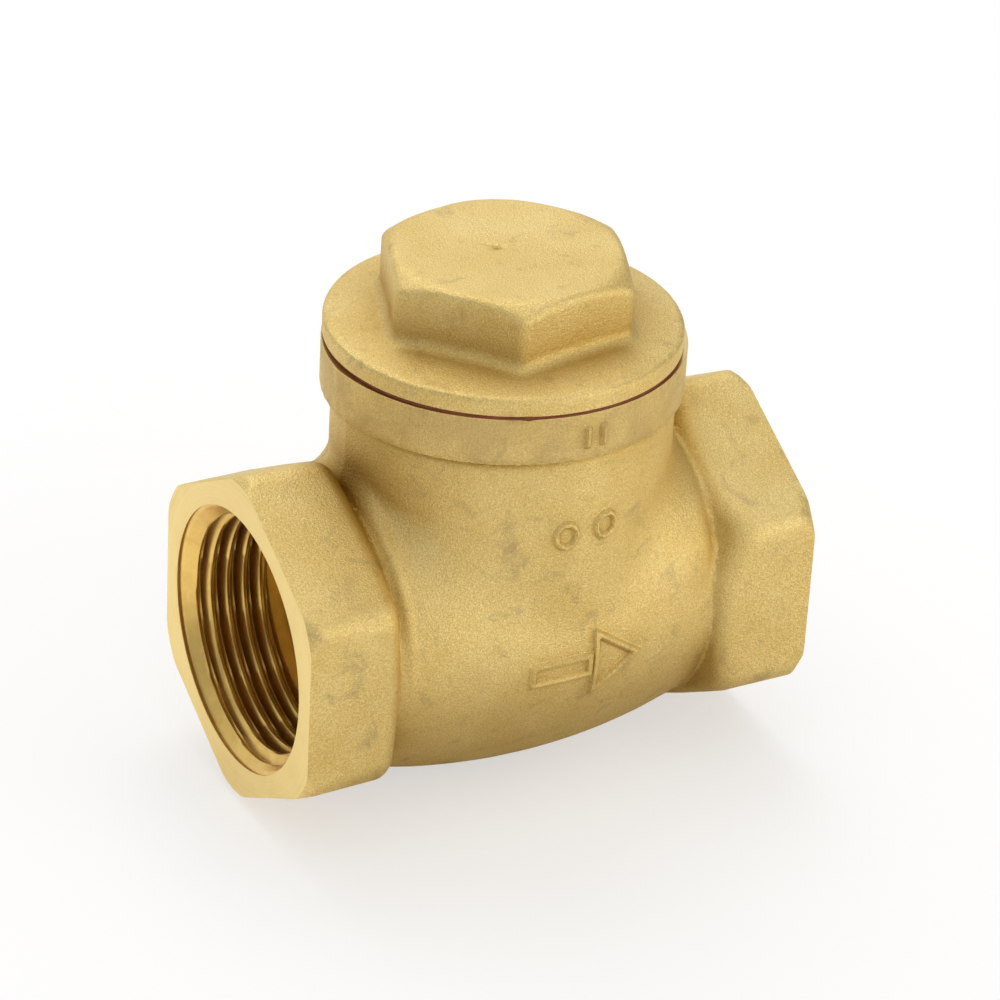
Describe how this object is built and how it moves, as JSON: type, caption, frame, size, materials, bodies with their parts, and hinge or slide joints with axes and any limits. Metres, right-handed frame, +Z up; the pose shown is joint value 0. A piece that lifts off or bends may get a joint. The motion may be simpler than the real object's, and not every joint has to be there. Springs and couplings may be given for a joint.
{
  "type": "swing check valve",
  "caption": "Brass swing check valve with female threaded hexagon ends, an inside flap on a cross pin and a screwed hexagon cap over the neck.",
  "frame": {"origin": "centre of the inlet port, in the plane of the inlet end face, on the pipe axis", "axes": "+X along the flow, from the inlet to the outlet; +Z up the neck towards the cap; the flow arrow is on the -Y side"},
  "size_m": [0.0715, 0.0449, 0.0702],
  "materials": {
    "forged_brass": "sandblasted forging, machined at the ports and the sealing faces",
    "turned_brass": "turned",
    "red_fibre": "dense red vulcanised fibre",
    "steel": "turned stainless",
    "black_rubber": "moulded nitrile"
  },
  "bodies": {
    "valve_body": {"body": "forged_brass", "hinge_pin": "steel", "pin_plug": "turned_brass"},
    "swing_arm": {"hinge_arm": "turned_brass"},
    "flap": {"disc": "turned_brass", "disc_seal": "black_rubber", "seal_plate": "turned_brass", "seal_screw": "steel", "disc_washer": "steel", "disc_nut": "turned_brass"},
    "gasket": {"cap_gasket": "red_fibre"},
    "screw_cap": {"cap": "forged_brass"}
  },
  "joints": [
    {"name": "flap_swing", "type": "hinge", "parent": "valve_body", "child": "swing_arm", "pos_m": [0.02475, 0, 0.0185], "axis": [0, -1, 0], "range_deg": [0, 65]},
    {"name": "disc_spin", "type": "hinge", "parent": "swing_arm", "child": "flap", "pos_m": [0.02325, 0, 0], "axis": [1, 0, 0], "continuous": true},
    {"name": "cap_lift", "type": "slide", "parent": "valve_body", "child": "gasket", "axis": [0, 0, 1], "range_m": [0, 0.0075]},
    {"name": "cap_turn", "type": "hinge", "parent": "gasket", "child": "screw_cap", "pos_m": [0.03575, 0, 0.0359], "axis": [0, 0, 1], "range_deg": [0, 1800]}
  ],
  "couplings": [
    {"joint": "cap_lift", "follows": "cap_turn", "m_per_rad": 0.00023873}
  ]
}
